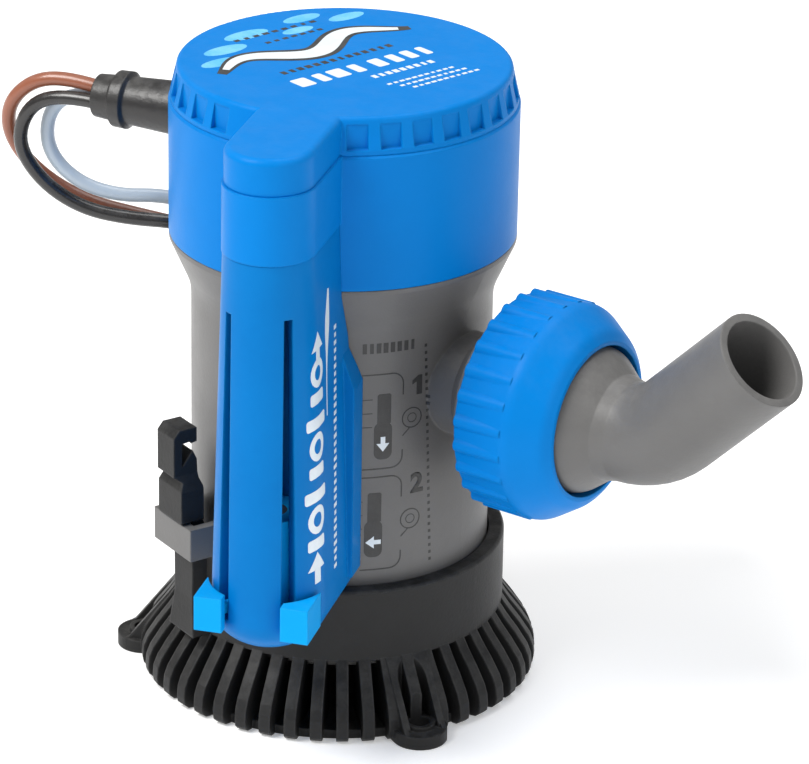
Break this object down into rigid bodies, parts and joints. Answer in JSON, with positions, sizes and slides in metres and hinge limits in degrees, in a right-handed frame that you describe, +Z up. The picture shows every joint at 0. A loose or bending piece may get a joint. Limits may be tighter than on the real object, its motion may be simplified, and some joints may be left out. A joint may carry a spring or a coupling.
{
  "type": "automatic bilge pump",
  "caption": "Upright submersible bilge pump with a clip-on strainer base, float switch column, union nut and a 45 degree hose elbow.",
  "frame": {"origin": "on the pump's upright axis at the underside of the strainer base", "axes": "+Z up along the pump axis, +X along the outlet port axis, away from the pump"},
  "size_m": [0.1716, 0.1355, 0.1236],
  "materials": {
    "cap_blue": "satin moulded",
    "column_blue": "satin moulded",
    "float_blue": "satin moulded",
    "housing_grey": "fine moulded texture",
    "base_charcoal": "fine moulded texture",
    "inner_black": "moulded",
    "seal_rubber": "matt",
    "boot_rubber": "matt",
    "zinc_steel": "plated",
    "core_steel": "laminated",
    "bronze": "sintered",
    "copper": "enamelled",
    "magnet": "sintered",
    "carbon": "matt",
    "board_green": "coated",
    "glass_clear": "clear",
    "lead_brown": "satin",
    "lead_black": "satin",
    "lead_white": "satin",
    "tie_black": "smooth"
  },
  "bodies": {
    "pump_body": {"strainer_base": "base_charcoal", "pump_housing": "housing_grey", "inlet_plate": "inner_black", "cap_seal": "seal_rubber", "canister_seal": "seal_rubber", "outlet_seal": "seal_rubber", "cap_shroud": "cap_blue", "cap_lid": "cap_blue", "switch_column": "column_blue", "reed_switch": "glass_clear", "motor_canister": "inner_black", "shaft_seal": "seal_rubber", "motor_can": "zinc_steel", "lower_bush": "bronze", "end_bell": "inner_black", "upper_bush": "bronze", "field_magnets": "magnet", "brush_card": "inner_black", "brushes": "carbon", "brush_springs": "bronze", "motor_terminals": "bronze", "switch_board": "board_green", "board_posts": "inner_black", "switch_transistor": "inner_black", "cable_boot": "boot_rubber", "brown_lead": "lead_brown", "black_lead": "lead_black", "white_lead": "lead_white", "lead_tips": "copper", "lead_coil": "lead_black", "coil_tie": "tie_black"},
    "rotor": {"rotor_shaft": "zinc_steel", "armature_core": "core_steel", "armature_windings": "copper", "commutator": "copper", "impeller": "inner_black"},
    "float": {"float": "float_blue", "float_magnet": "magnet"},
    "latch_front": {"latch_front": "base_charcoal"},
    "latch_rear": {"latch_rear": "base_charcoal"},
    "union_nut": {"union_nut": "cap_blue"},
    "outlet_elbow": {"outlet_elbow": "housing_grey"}
  },
  "joints": [
    {"name": "rotor_spin", "type": "hinge", "parent": "pump_body", "child": "rotor", "pos_m": [0, 0, 0.05], "axis": [0, 0, 1], "continuous": true},
    {"name": "float_lift", "type": "slide", "parent": "pump_body", "child": "float", "axis": [0, 0, 1], "range_m": [0, 0.048]},
    {"name": "latch_front_flex", "type": "hinge", "parent": "pump_body", "child": "latch_front", "pos_m": [-0.01154, -0.03006, 0.0154], "axis": [-0.9336, 0.3584, 0], "range_deg": [0, 6.2], "stiffness_Nm_per_rad": 1.2},
    {"name": "latch_rear_flex", "type": "hinge", "parent": "pump_body", "child": "latch_rear", "pos_m": [0.01154, 0.03006, 0.0154], "axis": [0.9336, -0.3584, 0], "range_deg": [0, 6.2], "stiffness_Nm_per_rad": 1.2},
    {"name": "nut_turn", "type": "hinge", "parent": "pump_body", "child": "union_nut", "pos_m": [0.045, 0, 0.0658], "axis": [1, 0, 0], "continuous": true},
    {"name": "elbow_swivel", "type": "hinge", "parent": "pump_body", "child": "outlet_elbow", "pos_m": [0.055, 0, 0.0658], "axis": [1, 0, 0], "continuous": true}
  ]
}
